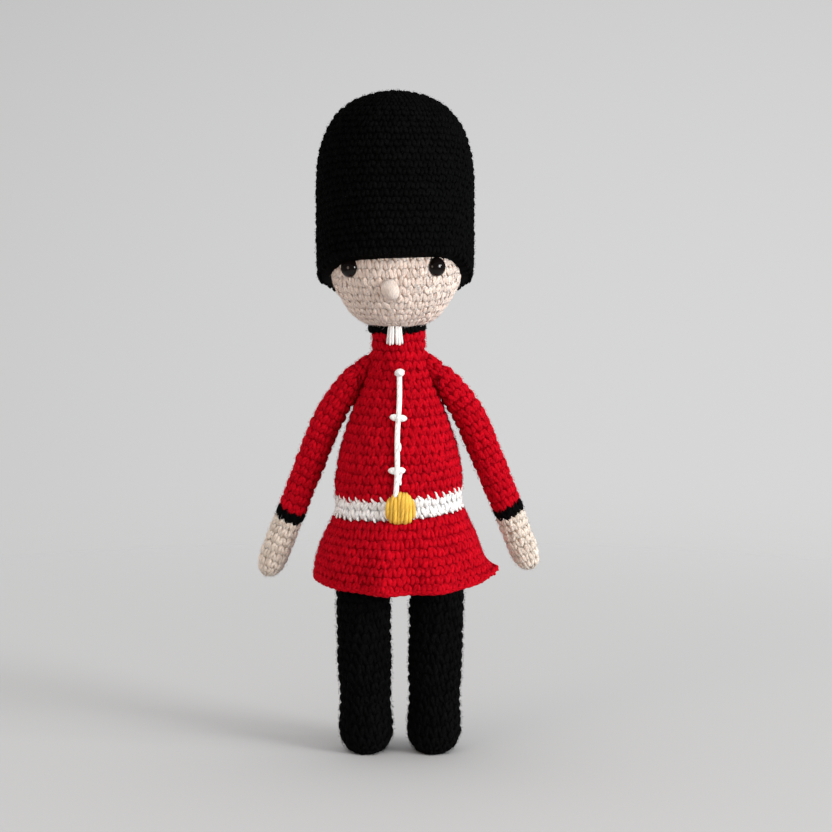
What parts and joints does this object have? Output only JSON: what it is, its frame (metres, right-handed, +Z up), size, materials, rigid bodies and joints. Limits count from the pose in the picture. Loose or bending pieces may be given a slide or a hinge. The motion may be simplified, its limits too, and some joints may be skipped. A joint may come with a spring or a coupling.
{
  "type": "toy soldier figure",
  "caption": "Crocheted, stuffed toy soldier standing upright, with a tall black fur hat, a red belted coat, swinging sewn-on arms and legs that flex at the hips.",
  "frame": {"origin": "on the floor midway between the soles", "axes": "+Z up through the hat, the face and the buckle look along -Y, +X is the figure's left"},
  "size_m": [0.1282, 0.078, 0.3011],
  "materials": {
    "red_yarn": "crocheted yarn",
    "black_yarn": "crocheted yarn",
    "skin_yarn": "crocheted yarn",
    "white_yarn": "crocheted yarn",
    "gold_yarn": "satin-stitched yarn",
    "filling": "loose fibre filling",
    "eye_black": "polished",
    "washer_white": "moulded"
  },
  "bodies": {
    "torso": {"seat_cover": "black_yarn", "coat_skirt": "red_yarn", "belt": "white_yarn", "buckle": "gold_yarn", "coat_cover": "red_yarn", "body_filling": "filling", "button_cord": "white_yarn", "button_knots": "white_yarn", "collar": "black_yarn", "left_tassel": "white_yarn", "right_tassel": "white_yarn", "left_sewing_yarn": "red_yarn", "right_sewing_yarn": "red_yarn", "head_cover": "skin_yarn", "head_filling": "filling", "nose": "skin_yarn", "left_eye": "eye_black", "left_eye_washer": "washer_white", "right_eye": "eye_black", "right_eye_washer": "washer_white", "hat_cover": "black_yarn", "hat_filling": "filling"},
    "left_arm": {"left_sleeve": "red_yarn", "left_cuff": "black_yarn", "left_hand": "skin_yarn", "left_arm_filling": "filling"},
    "left_leg": {"left_leg_cover": "black_yarn", "left_leg_filling": "filling"},
    "right_arm": {"right_sleeve": "red_yarn", "right_cuff": "black_yarn", "right_hand": "skin_yarn", "right_arm_filling": "filling"},
    "right_leg": {"right_leg_cover": "black_yarn", "right_leg_filling": "filling"}
  },
  "joints": [
    {"name": "left_shoulder", "type": "hinge", "parent": "torso", "child": "left_arm", "pos_m": [0.0162, 0, 0.1722], "axis": [-1, 0, 0], "range_deg": [-60, 150]},
    {"name": "right_shoulder", "type": "hinge", "parent": "torso", "child": "right_arm", "pos_m": [-0.0162, 0, 0.1722], "axis": [-1, 0, 0], "range_deg": [-60, 150]},
    {"name": "left_hip", "type": "hinge", "parent": "torso", "child": "left_leg", "pos_m": [0.0164, 0, 0.092], "axis": [-1, 0, 0], "range_deg": [-30, 30], "stiffness_Nm_per_rad": 0.22},
    {"name": "right_hip", "type": "hinge", "parent": "torso", "child": "right_leg", "pos_m": [-0.0164, 0, 0.092], "axis": [-1, 0, 0], "range_deg": [-30, 30], "stiffness_Nm_per_rad": 0.22}
  ]
}
